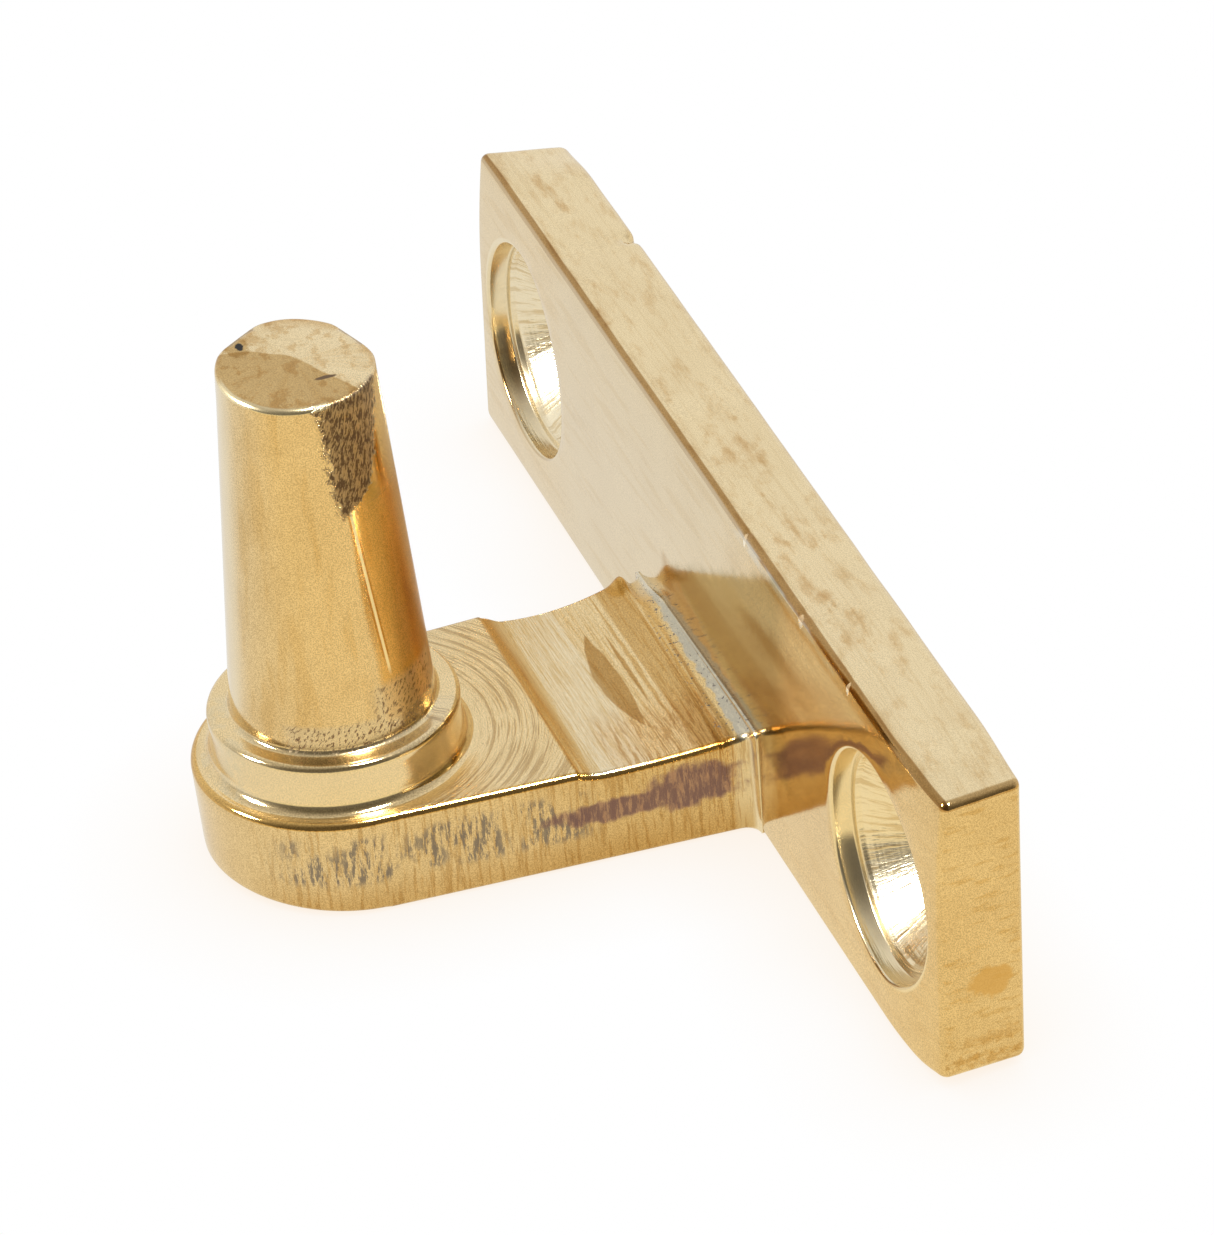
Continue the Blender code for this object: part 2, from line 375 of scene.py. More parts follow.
def mesh_face(bm, y, edge_ring, hole_rings, spacing, holes_radius):
    """A face of the plate as even triangles between its edge and the rings of its holes."""
    inner = grid_points(spacing, EDGE_MARGIN, holes_radius + 0.6 * spacing)
    verts = list(edge_ring)
    edges = []
    for ring in [edge_ring] + hole_rings:
        start = 0 if ring is edge_ring else len(verts)
        if start:
            verts += ring
        edges += [(start + i, start + (i + 1) % len(ring)) for i in range(len(ring))]
    verts += add_ring(bm, [(x, y, z) for x, z in inner])
    flat = [Vector((vert.co.x, vert.co.z)) for vert in verts]
    result = geometry.delaunay_2d_cdt(flat, edges, [], 0, 1e-9, True)
    coords, triangles, sources = result[0], result[2], result[3]
    for triangle in triangles:
        centre = sum((coords[i] for i in triangle), Vector((0.0, 0.0))) / 3
        if math.hypot(abs(centre.x) - HOLE_X, centre.y) > holes_radius:
            bm.faces.new([verts[sources[i][0]] for i in triangle])


def build_plate_edge(bm):
    """The plate's edge all round: columns running from the front face to the back face."""
    columns = []
    for point, normal in rounded_outline(PLATE_HALF_LENGTH, PLATE_HALF_HEIGHT, OUTLINE_STEP):
        column = []
        for inset, y in plate_section():
            edge = point - normal * inset
            column.append(bm.verts.new((edge.x, y, edge.y)))
        columns.append(column)
    bridge_all(bm, columns + columns[:1], closed=False)
    return [column[0] for column in columns], [column[-1] for column in columns]


def build_screw_hole(bm, centre_x):
    rings = []
    for radius, y in hole_section():
        points = [(x, y, z) for x, z in ring_points(radius, HOLE_POINTS, centre_x)]
        rings.append(add_ring(bm, points))
    bridge_all(bm, rings)
    return rings[0], rings[-1]


def build_plate():
    bm = bmesh.new()
    front_edge, back_edge = build_plate_edge(bm)
    holes = [build_screw_hole(bm, side * HOLE_X) for side in (-1, 1)]
    fronts = [hole[0] for hole in holes]
    backs = [hole[1] for hole in holes]
    mesh_face(bm, FRONT_Y, front_edge, fronts, FRONT_GRID, HOLE_MOUTH + HOLE_LIP)
    mesh_face(bm, 0.0, back_edge, backs, BACK_GRID, HOLE_SHANK + HOLE_BACK_LIP)
    plate = finish_mesh("plate_finish", bm, worn_plate)
    weight_normals(plate)
    return plate


# ================================================================ arm
def root_flare(y):
    """How far the arm swells where it runs into the plate's front."""
    gap = max(0.0, FRONT_Y - y)
    if gap >= ROOT_FILLET:
        return 0.0
    return ROOT_FILLET - math.sqrt(ROOT_FILLET ** 2 - (ROOT_FILLET - gap) ** 2)


def half_width(side, y):
    """Half width of the arm, which widens from the pin to the plate."""
    root = ARM_NEAR_ROOT if side > 0 else ARM_FAR_ROOT
    share = max(0.0, (y - PIN_Y) / (FRONT_Y - PIN_Y))
    return ARM_END_RADIUS + (root - ARM_END_RADIUS) * min(1.0, share)


def scoop_height(x, y):
    """Height of the arm's top above the seat: flat, a hollow scoop deeper on the far side, a lip."""
    past = y - SEAT_END_Y
    if past <= 0:
        return 0.0
    far_side = -SCOOP_DEPTH_FAR * (1 - ((past - SCOOP_MIDDLE) / SCOOP_HALF_LENGTH) ** 2)
    near_side = -SCOOP_DEPTH_NEAR + 0.01 * (past - 1.0 * MM) ** 2 / MM
    share = min(1.0, max(0.0, (x + ARM_FAR_ROOT) / (2 * ARM_FAR_ROOT)))
    hollow = far_side + (near_side - far_side) * share
    eased = 1 - (1 - share) * smoothstep(TIP_Y, TIP_Y + 0.5 * MM, y)
    height = min(0.2 * MM, hollow) * smoothstep(-0.1 * MM, 0.9 * MM, past) * eased
    height -= SEAT_STEP * smoothstep(0, 0.12 * MM, past)
    height -= SEAM_GROOVE * bump_at(y, SEAM_Y + SEAM_SKEW * x, 0.1 * MM)
    tip = smoothstep(-4.6 * MM, -5.5 * MM, x) * bump_at(y, TIP_Y, 0.3 * MM)
    dip = smoothstep(TIP_Y + 0.1 * MM, TIP_Y + 0.5 * MM, y) * smoothstep(-3.2 * MM, -5.4 * MM, x)
    height -= TIP_DIP * dip
    lift = FAR_ROOT_LIFT + (NEAR_ROOT_LIFT - FAR_ROOT_LIFT) * share
    return height + TIP_RISE * tip + lift * root_flare(y)


def arm_rows():
    """Y of each row of the arm's straight part, closer together where its top changes."""
    fillet_start = FRONT_Y - ROOT_FILLET
    rows = evenly(PIN_Y, SEAT_END_Y - 0.2 * MM, SEAT_ROWS)
    rows += evenly(SEAT_END_Y - 0.2 * MM, SEAT_END_Y + 0.3 * MM, 12)
    rows += evenly(SEAT_END_Y + 0.3 * MM, fillet_start, 60)
    for i in range(13):
        rows.append(fillet_start + ROOT_FILLET * math.sin(math.pi / 2 * i / 12))
    rows.append(FRONT_Y + ROOT_OVERLAP)
    return rows


def arm_outline(rows):
    """Near side from the plate to the pin, round the end, and back up the far side."""
    outline = [(Vector((half_width(1, y), y)), Vector((1.0, 0.0))) for y in reversed(rows[1:])]
    for i in range(ARM_END_STEPS + 1):
        angle = -math.pi * i / ARM_END_STEPS
        normal = Vector((math.cos(angle), math.sin(angle)))
        outline.append((Vector((0.0, PIN_Y)) + normal * ARM_END_RADIUS, normal))
    outline += [(Vector((-half_width(-1, y), y)), Vector((-1.0, 0.0))) for y in rows[1:]]
    return outline


def arm_section():
    """(inset, height share, rise) down the arm's side from its top face to its underside."""
    section = [(inset, 1.0, -rise) for inset, rise in arc(ARM_TOP_RIM, 6)]
    for i in range(1, 8):
        section.append((0.0, 1 - i / 8, 0.0))
    section += [(inset, 0.0, rise) for inset, rise in reversed(arc(ARM_LOW_RIM, 6))]
    return section


def end_wear(normal):
    """How worn the rounded end is: most at its far left, nothing along the straight sides."""
    return max(0.0, normal.dot(END_WEAR_DIRECTION)) ** 2 if normal.y < 0 else 0.0


def arm_side_point(point, normal, inset, share, rise):
    flare = root_flare(point.y) * abs(normal.x)
    worn = end_wear(normal)
    if share < 1.0:
        inset += END_UNDERCUT * worn * (1 - share)
    edge = point + normal * (flare - inset)
    top = ARM_TOP_Z + scoop_height(edge.x, point.y)
    wall_low = UNDERSIDE_Z + ARM_LOW_RIM
    wall_high = top - ARM_TOP_RIM
    if share == 1.0:
        z = top + rise
    elif share == 0.0:
        z = UNDERSIDE_Z + rise + END_UNDERCUT * worn
    else:
        z = wall_low + (wall_high - wall_low) * share
    return Vector((edge.x, edge.y, z))


def arm_top_point(turn, index, rows):
    """A point of the arm's top: a half ring by the pin, opening out into straight rows."""
    row = rows[index]
    seat_radius = ARM_END_RADIUS - ARM_TOP_RIM
    y = row
    if index < SEAT_ROWS:
        start_y = PIN_Y + seat_radius * math.sin(turn)
        y = start_y + (rows[SEAT_ROWS] - start_y) * index / SEAT_ROWS
    side = 1 if math.cos(turn) > 0 else -1
    x = math.cos(turn) * (half_width(side, y) + root_flare(y) - ARM_TOP_RIM)
    if index == 0:
        x = seat_radius * math.cos(turn)
    return Vector((x, y, ARM_TOP_Z + scoop_height(x, y)))


def build_arm_top(bm, rows, near_rim, far_rim):
    """Columns of the top face between its near and far rims; returns them in order."""
    lines = [near_rim]
    for k in range(1, ARM_ACROSS):
        turn = math.pi * k / ARM_ACROSS
        points = [arm_top_point(turn, index, rows) for index in range(len(rows))]
        lines.append(add_ring(bm, points))
    lines.append(far_rim)
    bridge_all(bm, lines, closed=False)
    return lines


def build_spigot_bore(bm, seat_ring):
    """The seat's inner part, the bore for the pin's spigot and the countersink it is riveted into."""
    directions = [Vector((vert.co.x, vert.co.y - PIN_Y)).normalized() for vert in seat_ring]
    steps = (
        (0.94 * FOOT_RADIUS, ARM_TOP_Z),
        (SPIGOT_RADIUS + SPIGOT_GAP, ARM_TOP_Z),
        (SPIGOT_RADIUS + SPIGOT_GAP, UNDERSIDE_Z + RIVET_DEPTH),
        (RIVET_RADIUS + RIVET_GAP, UNDERSIDE_Z),
    )
    rings = [seat_ring]
    for radius, z in steps:
        points = [(d.x * radius, PIN_Y + d.y * radius, z) for d in directions]
        rings.append(add_ring(bm, points))
    bridge_all(bm, rings)
    return rings[-1]


def build_arm():
    bm = bmesh.new()
    rows = arm_rows()
    section = arm_section()
    columns = []
    for point, normal in arm_outline(rows):
        columns.append(add_ring(bm, [arm_side_point(point, normal, *step) for step in section]))
    bridge_all(bm, columns, closed=False)
    top_rim = [column[0] for column in columns]
    straight = len(rows)
    near_rim = top_rim[:straight][::-1]
    far_rim = top_rim[-straight:]
    lines = build_arm_top(bm, rows, near_rim, far_rim)
    end_rim = top_rim[straight:-straight]
    seat_ring = [line[0] for line in lines] + end_rim[::-1]
    bore_mouth = build_spigot_bore(bm, seat_ring)
    root_loop = [line[-1] for line in lines[1:-1]]
    bm.faces.new(columns[0][::-1] + root_loop + columns[-1])
    fill_between(bm, [[column[-1] for column in columns], bore_mouth])
    arm = finish_mesh("arm_finish", bm)
    weight_normals(arm)
    return arm


# ================================================================ stay pin
def pin_top_profile():
    """(radius, z) from the middle of the pin's top to the start of the taper."""
    profile = []
    for i in range(1, 13):
        share = i / 12
        radius = (TOP_RADIUS - TOP_RIM) * share
        profile.append((radius, PIN_TOP_Z - TOP_CROWN * share ** 2))
    for inset, drop in arc(TOP_RIM, 8)[1:]:
        profile.append((TOP_RADIUS - inset, PIN_TOP_Z - TOP_CROWN - drop))
    return profile


def pin_profile():
    """(radius, z) from the middle of the pin's top down to the riveted end."""
    ledge_z = ARM_TOP_Z + COLLAR_HEIGHT
    foot_z = ARM_TOP_Z - 0.01 * MM
    taper_top = PIN_TOP_Z - TOP_CROWN - TOP_RIM
    taper_low = ledge_z + BASE_FILLET
    profile = pin_top_profile()
    for share in evenly(0.0, 1.0, 60)[1:]:
        radius = TOP_RADIUS + (BASE_RADIUS - TOP_RADIUS) * share
        profile.append((radius, taper_top + (taper_low - taper_top) * share))
    for inset, rise in reversed(arc(BASE_FILLET, 5)):
        profile.append((BASE_RADIUS + inset, ledge_z + rise))
    for inset, drop in arc(COLLAR_RIM, 6):
        profile.append((COLLAR_RADIUS - inset, ledge_z - drop))
    wall_top = ledge_z - COLLAR_RIM
    wall_low = foot_z + FOOT_FILLET
    for share in evenly(0.0, 1.0, 6)[1:]:
        waist = 0.04 * MM * math.sin(math.pi * share)
        profile.append((COLLAR_RADIUS - waist, wall_top + (wall_low - wall_top) * share))
    for inset, rise in reversed(arc(FOOT_FILLET, 8)):
        profile.append((COLLAR_RADIUS + inset, foot_z + rise))
    profile.append((SPIGOT_RADIUS, foot_z))
    profile.append((SPIGOT_RADIUS, UNDERSIDE_Z + RIVET_DEPTH))
    profile.append((RIVET_RADIUS, UNDERSIDE_Z))
    return profile


def worn_pin(point):
    """The sawn top: a little higher at the far side, with two corners filed off."""
    top = smoothstep(WORN_TOP_START_Z, WORN_TOP_FULL_Z, point.z)
    flat = Vector((point.x, point.y - PIN_Y))
    for direction in TOP_CUT_DIRECTIONS:
        over = flat.dot(direction) - TOP_CUT
        if over > 0:
            flat -= direction * over * top
    behind = flat.dot(AWAY.xy) / TOP_RADIUS
    rightward = flat.dot(RIGHTWARD) / TOP_RADIUS
    rise = TOP_TILT * (1 + behind) * (1 - 0.6 * rightward) * top
    ripple = noise.noise(Vector((flat.x, flat.y, 0.0)) * PIN_RIPPLES_PER_METRE) * PIN_RIPPLE * top
    return Vector((flat.x, PIN_Y + flat.y, point.z + rise + ripple))


def build_pin():
    bm = bmesh.new()
    rings = []
    for radius, z in pin_profile():
        points = [(x, PIN_Y + y, z) for x, y in ring_points(radius, TURNED_STEPS)]
        rings.append(add_ring(bm, points))
    bridge_all(bm, rings)
    for ring, z in ((rings[0], PIN_TOP_Z), (rings[-1], UNDERSIDE_Z)):
        centre = bm.verts.new((0.0, PIN_Y, z))
        for i in range(TURNED_STEPS):
            bm.faces.new((centre, ring[i], ring[(i + 1) % TURNED_STEPS]))
    return finish_mesh("pin_finish", bm, worn_pin)


# ================================================================ tints
BRASS = (0.80, 0.60, 0.31)

# Colours that the brass they lie on is multiplied by.
LIFTED = (1.19, 1.20, 1.225)
CLOUDED = (0.955, 0.94, 0.91)
GRAINED = (0.68, 0.67, 0.64)
FILED = (0.90, 0.86, 0.78)
WIPED = (0.95, 0.92, 0.86)
BLUSHED = (0.95, 0.89, 0.83)
DRAWN = (0.93, 0.88, 0.78)
SMUDGED = (0.89, 0.82, 0.73)
STREAKS_AND_STEP_SHADE = (0.89, 0.82, 0.68)
TARNISHED = (0.84, 0.75, 0.63)
DULLED = (0.84, 0.74, 0.57)
BRUSHED = (0.80, 0.72, 0.60)
RUBBED = (0.80, 0.68, 0.52)
TOOLED = (0.72, 0.66, 0.58)
SPECKED = (0.55, 0.48, 0.40)
SMEARS_AND_EDGE_SHADE = (0.75, 0.64, 0.49)
SHADED = (0.78, 0.66, 0.46)
HATCHED = (0.71, 0.60, 0.43)
PAINTED_ARM_REFLECTION = (0.66, 0.65, 0.52)
PAINTED_ROOT_REFLECTION = (0.70, 0.57, 0.37)
PAINTED_DARK_REFLECTION = (0.64, 0.53, 0.40)
LEAF_BROWN = (0.64, 0.50, 0.30)
PAINTED_RIM_SHADE = (0.54, 0.41, 0.26)
PAINTED_PLATE_REFLECTION = (1.0, 0.89, 0.62)
RIM_GOLD = (0.86, 0.70, 0.42)
LINE_BROWN = (0.72, 0.55, 0.32)

# Colours that replace the brass where they lie.
GLINT = (1.0, 0.95, 0.82)
PAINTED_HIGHLIGHT_GOLD = (1.0, 0.91, 0.60)
PALE_GOLD = (0.94, 0.84, 0.61)
HOLE_GOLD = (0.94, 0.82, 0.55)
WARM_GOLD = (0.90, 0.76, 0.50)
STRAW = (0.85, 0.74, 0.52)
TAN = (0.72, 0.62, 0.43)
BUFF = (0.78, 0.68, 0.50)
AMBER = (0.70, 0.42, 0.12)
COOL_WHITE = (0.76, 0.80, 0.76)
GREY_GREEN = (0.60, 0.58, 0.44)
PEWTER = (0.44, 0.44, 0.37)
TORN_BROWN = (0.44, 0.31, 0.17)
PURPLE_BROWN = (0.38, 0.21, 0.15)
SPECK_BROWN = (0.26, 0.18, 0.11)
SPECK_GREY = (0.20, 0.17, 0.145)
PURPLE_BLACK = (0.17, 0.10, 0.10)
DARK_BROWN = (0.14, 0.09, 0.052)
NEAR_BLACK = (0.035, 0.033, 0.03)


# ================================================================ shader wiring
class Graph:
    """Short calls for wiring shader nodes together."""

    def __init__(self, tree):
        self.nodes = tree.nodes
        self.links = tree.links

    def add(self, kind, inputs=(), **settings):
        node = self.nodes.new("ShaderNode" + kind)
        for name, value in settings.items():
            setattr(node, name, value)
        for key, value in dict(inputs).items():
            self.put(value, node.inputs[key])
        return node

    def put(self, value, socket):
        if isinstance(value, bpy.types.NodeSocket):
            self.links.new(value, socket)
        elif isinstance(value, tuple) and len(value) == 3 and socket.type == "RGBA":
            socket.default_value = (*value, 1.0)
        else:
            socket.default_value = value

    def math(self, operation, a, b=0.0):
        return self.add("Math", {0: a, 1: b}, operation=operation).outputs[0]

    def plus(self, a, b):
        return self.math("ADD", a, b)

    def minus(self, a, b):
        return self.math("SUBTRACT", a, b)

    def times(self, a, b):
        return self.math("MULTIPLY", a, b)

    def vector(self, operation, a, b):
        return self.add("VectorMath", {0: a, 1: b}, operation=operation).outputs[0]

    def dot(self, vector, direction):
        node = self.add("VectorMath", {0: vector, 1: direction}, operation="DOT_PRODUCT")
        return node.outputs["Value"]

    def split(self, vector):
        return self.add("SeparateXYZ", {0: vector}).outputs

    def join(self, x, y, z=0.0):
        return self.add("CombineXYZ", {0: x, 1: y, 2: z}).outputs[0]

    def step(self, value, low, high):
        """0 below low, 1 above high, smooth between."""
        inputs = {"Value": value, "From Min": low, "From Max": high}
        return self.add("MapRange", inputs, interpolation_type="SMOOTHSTEP").outputs["Result"]

    def band(self, value, low, high, soft):
        """1 between low and high, fading out over soft on either side."""
        return self.both(self.step(value, low - soft, low), self.step(value, high + soft, high))

    def both(self, *masks):
        result = masks[0]
        for mask in masks[1:]:
            result = self.times(result, mask)
        return result

    def noise(self, vector, scale, detail=2.0, roughness=0.5):
        inputs = {"Vector": vector, "Scale": scale, "Detail": detail, "Roughness": roughness}
        return self.add("TexNoise", inputs).outputs["Fac"]

    def mix(self, factor, a, b, blend="MIX"):
        inputs = {"Factor": factor, 6: a, 7: b}
        return self.add("Mix", inputs, data_type="RGBA", blend_type=blend).outputs[2]


class Finish:
    """Polished brass that grain, scratches and stains are laid over one after another."""

    def __init__(self, name):
        self.material = bpy.data.materials.new(name)
        self.material.use_nodes = True
        g = Graph(self.material.node_tree)
        self.g = g
        coordinates = g.add("TexCoord").outputs["Object"]
        self.place = g.vector("MULTIPLY", coordinates, (1 / MM, 1 / MM, 1 / MM))
        self.x, self.y, self.z = g.split(self.place)
        self.normal_x, self.normal_y, self.normal_z = g.split(g.add("NewGeometry").outputs["Normal"])
        self.colour = BRASS
        self.roughness = 0.10
        self.normal = None

    def stretched(self, x, y, z):
        """Coordinates squeezed or stretched along each axis, for streaks."""
        return self.g.vector("MULTIPLY", self.place, (x, y, z))

    def stain(self, mask, colour, roughness=None):
        """Covers the brass with another colour where the mask is 1."""
        self.colour = self.g.mix(mask, self.colour, colour)
        if roughness is not None:
            self.dull(mask, roughness)

    def shade(self, mask, colour):
        """Multiplies the brass by a colour where the mask is 1."""
        self.colour = self.g.mix(mask, self.colour, colour, "MULTIPLY")

    def dull(self, mask, roughness):
        start = self.roughness
        inputs = {"Factor": mask, "A": start, "B": roughness}
        self.roughness = self.g.add("Mix", inputs, data_type="FLOAT").outputs["Result"]

    def relief(self, height, depth):
        """Raises or sinks the surface by a height map; depth in millimetres."""
        inputs = {"Height": height, "Distance": depth * MM, "Strength": 1.0}
        if self.normal is not None:
            inputs["Normal"] = self.normal
        self.normal = self.g.add("Bump", inputs).outputs["Normal"]

    def spot(self, centre, radii, ragged=0.0, scale=3.0):
        """1 inside an ellipsoid, with a ragged edge if asked for."""
        g = self.g
        offset = g.vector("SUBTRACT", self.place, centre)
        scaled = g.vector("DIVIDE", offset, radii)
        distance = g.add("VectorMath", {0: scaled}, operation="LENGTH").outputs["Value"]
        if ragged:
            wander = g.times(g.noise(self.place, scale, 3.0), ragged)
            distance = g.plus(distance, g.minus(wander, ragged / 2))
        return g.step(distance, 1.15, 0.75)

    def polish(self):
        """Cloudy tone, fine grain, and the slight waves left by polishing."""
        g = self.g
        clouds = g.noise(self.place, 0.35, 3.0)
        self.shade(g.step(clouds, 0.42, 0.62), CLOUDED)
        grain = g.noise(self.place, 20.0, 1.0, 0.5)
        self.shade(g.step(grain, 0.30, 0.70), GRAINED)
        self.shade(1.0, LIFTED)
        self.relief(g.noise(self.place, 0.9, 2.0), 0.006)
        self.relief(grain, 0.0009)

    def done(self):
        shader = self.g.nodes["Principled BSDF"]
        shader.inputs["Metallic"].default_value = 1.0
        self.g.put(self.colour, shader.inputs["Base Color"])
        self.g.put(self.roughness, shader.inputs["Roughness"])
        if self.normal is not None:
            self.g.put(self.normal, shader.inputs["Normal"])
        return self.material


# ================================================================ brass of the plate
# In the marks below, places are in millimetres from the part's origin and angles in radians.
# Each glint or smudge is a centre and its radii.
EDGE_GLINTS = (
    ((6.2, -3.35, 6.2), (0.14, 0.25, 0.30)),
    ((12.1, -3.40, 6.2), (0.24, 0.25, 0.30)),
    ((16.9, -3.35, 6.2), (0.14, 0.22, 0.30)),
)
TOP_SMUDGES = (
    ((7.2, -1.2, 6.4), (1.5, 0.5, 1.0)),
    ((-11.6, -2.6, 6.4), (1.6, 0.6, 1.0)),
    ((13.8, -1.7, 6.4), (1.8, 0.9, 1.0)),
    ((9.5, -2.3, 6.4), (2.4, 0.7, 1.0)),
    ((-20.5, -2.0, 6.4), (2.2, 0.6, 1.0)),
    ((1.0, -1.6, 6.4), (2.5, 0.8, 1.0)),
)


def plate_top_marks(f):
    """Filing lines along the top edge, tarnish smudges, painted glints at the nicks, painted shade along the
    front rim and near end edge, and a painted pale highlight line along its front.
    """
    g = f.g
    top = g.step(f.normal_z, 0.7, 0.93)
    lines = g.noise(f.stretched(0.10, 5.0, 1.0), 1.6, 3.0, 0.65)
    f.shade(g.both(top, g.step(lines, 0.50, 0.66)), FILED)
    f.relief(g.both(top, lines), 0.010)
    f.stain(g.both(top, 0.35), WARM_GOLD)
    smudges = g.noise(f.stretched(0.45, 1.3, 1.0), 1.1, 5.0, 0.68)
    f.shade(g.both(top, g.step(smudges, 0.48, 0.74)), TARNISHED)
    for centre, radii in TOP_SMUDGES:
        ragged = f.spot(centre, radii, 2.6, 1.6)
        f.shade(g.both(top, ragged, g.step(smudges, 0.40, 0.64)), SMUDGED)
    # Painted highlights at the nicks along the front edge.
    for centre, radii in EDGE_GLINTS:
        f.stain(f.spot(centre, radii, 1.0, 6.0), GLINT, 0.4)
    # Painted shade along the near end's top edge, dimming its highlight.
    near_end = PLATE_HALF_LENGTH / MM
    end_edge = g.both(
        g.step(f.x, near_end - 1.0, near_end - 0.4),
        g.band(f.normal_z, 0.15, 0.93, 0.05),
        g.step(f.normal_x, 0.1, 0.3),
    )
    f.shade(end_edge, SMEARS_AND_EDGE_SHADE)
    smears = g.noise(f.stretched(0.35, 1.5, 1.0), 0.9, 4.0, 0.6)
    f.shade(g.both(top, g.step(f.y, -2.6, -3.3), g.step(smears, 0.44, 0.60)), SMEARS_AND_EDGE_SHADE)
    # Painted shade along the rounded front rim, standing in for its dark reflection.
    rim = g.both(g.band(f.normal_z, 0.30, 0.95, 0.05), g.step(f.normal_y, -0.15, -0.35))
    f.shade(rim, PAINTED_RIM_SHADE)
    # Painted pale highlight line along the front edge.
    painted_highlight_line = g.both(g.band(f.y, -3.37, -3.31, 0.04), g.band(f.x, 6.0, 15.5, 1.5), g.step(f.z, 5.7, 6.1))
    broken = g.step(g.noise(f.stretched(0.3, 1.0, 1.0), 1.5, 2.0), 0.38, 0.55)
    f.stain(g.both(painted_highlight_line, broken, 0.5), COOL_WHITE, 0.3)


def plate_face_marks(f):
    """Uneven tone of the front face, painted reflections of the arm on it, and the stained end face."""
    g = f.g
    front = g.step(f.normal_y, -0.7, -0.9)
    middle = g.band(f.x, -13.0, 3.0, 6.0)
    f.stain(g.both(front, middle, 0.55), STRAW)
    ragged = g.times(g.minus(g.noise(f.place, 1.1, 4.0, 0.6), 0.5), 1.2)
    height = g.plus(g.plus(f.z, ragged), g.times(f.x, 0.20))
    # Painted reflection of the arm's root fillet: a darker band just above the arm.
    root_reflection = g.both(front, g.step(height, -0.1, -0.7), g.band(f.x, -2.6, 6.8, 0.9), g.step(f.z, -2.7, -2.5))
    f.shade(root_reflection, PAINTED_ROOT_REFLECTION)
    # Painted reflection of the arm's top in the front face, darker olive.
    slope = g.minus(height, g.times(f.x, 0.75))
    above = g.both(front, g.step(slope, 1.6, 0.9), g.step(height, -0.7, -0.1), g.band(f.x, -2.6, 9.0, 2.4))
    f.shade(above, PAINTED_ARM_REFLECTION)
    f.stain(g.both(front, g.step(f.x, -12.0, -20.0), 0.5), WARM_GOLD)
    wipes = g.noise(f.stretched(0.25, 1.0, 2.4), 1.0, 3.0)
    f.shade(g.both(front, g.step(wipes, 0.50, 0.68)), WIPED)
    end = g.step(f.normal_x, 0.7, 0.9)
    streaks = g.noise(f.stretched(1.0, 0.6, 2.6), 1.3, 4.0, 0.6)
    f.shade(g.both(end, g.step(streaks, 0.50, 0.66)), STREAKS_AND_STEP_SHADE)
    amber = f.spot((PLATE_HALF_LENGTH / MM, -1.35, -2.25), (3.0, 0.9, 0.72), 1.3, 2.0)
    f.stain(g.both(end, amber, 0.75), AMBER)
    low = g.both(end, g.step(f.z, -3.6, -5.4), g.step(g.noise(f.place, 2.2, 4.0), 0.45, 0.62))
    f.shade(low, DULLED)


def hole_marks(f):
    """Chatter left by the countersink cutter, running down the cone."""
    g = f.g
    mouth, ledge, front = HOLE_MOUTH / MM, HOLE_LEDGE / MM, FRONT_Y / MM
    across = g.minus(g.math("ABSOLUTE", f.x), HOLE_X / MM)
    radius = g.math("SQRT", g.plus(g.math("POWER", across, 2.0), g.math("POWER", f.z, 2.0)))
    turn = g.math("ARCTAN2", f.z, across)
    wall = g.both(g.step(radius, mouth + 0.17, mouth + 0.07), g.band(f.y, front + 0.12, -0.2, 0.1))
    f.stain(g.both(wall, 0.7), HOLE_GOLD, 0.24)
    inside = g.both(g.step(radius, ledge + 0.1, ledge - 0.05), g.band(f.y, front + 1.0, -0.2, 0.1))
    chatter = g.noise(g.join(g.times(turn, 9.0), g.times(radius, 0.35)), 1.6, 3.0, 0.7)
    f.stain(g.both(inside, 0.6), PALE_GOLD, 0.26)
    f.relief(g.both(inside, chatter), 0.035)
    f.shade(g.both(inside, g.step(chatter, 0.48, 0.62)), BRUSHED)
    rings = g.noise(g.join(g.times(radius, 3.0), 0.0), 2.5, 2.0)
    f.relief(g.both(inside, rings), 0.012)


def plate_brass():
    f = Finish("worn_plate_brass")
    f.polish()
    plate_top_marks(f)
    plate_face_marks(f)
    hole_marks(f)
    return f.done()


# ================================================================ brass of the arm
def from_pin(f):
    """Distance from the pin's axis and angle round it, in millimetres and radians."""
    g = f.g
    across = g.minus(f.y, PIN_Y / MM)
    square = g.plus(g.math("POWER", f.x, 2.0), g.math("POWER", across, 2.0))
    return g.math("SQRT", square), g.math("ARCTAN2", across, f.x)


def seat_marks(f):
    """Concentric tool marks on the flat round the collar."""
    g = f.g
    radius, turn = from_pin(f)
    seat_end, foot = SEAT_END_Y / MM, FOOT_RADIUS / MM
    flat = g.both(g.step(f.normal_z, 0.8, 0.95), g.step(f.y, seat_end + 0.1, seat_end - 0.1))
    strength = g.both(flat, g.step(radius, foot - 0.1, foot + 0.5))
    cut = g.noise(g.join(g.times(radius, 1.0), g.times(turn, 0.25)), 6.0, 3.0, 0.7)
    f.relief(g.both(strength, cut), 0.07)
    f.shade(g.both(strength, g.step(cut, 0.50, 0.58)), TOOLED)
    f.dull(flat, 0.22)
    specks = g.step(g.noise(f.stretched(1.0, 0.8, 1.0), 3.0, 4.0, 0.7), 0.66, 0.72)
    f.shade(g.both(flat, specks), SPECKED)


# Centre along y, middle along x, half length, half width and bend of each leaf.
LEAVES = (
    ((-7.15, 0.3, 3.6, 0.48, -0.2), LEAF_BROWN),
    ((-6.28, -0.1, 2.8, 0.10, 0.0), LEAF_BROWN),
    ((-5.93, 0.0, 6.0, 0.09, 0.0), SHADED),
)


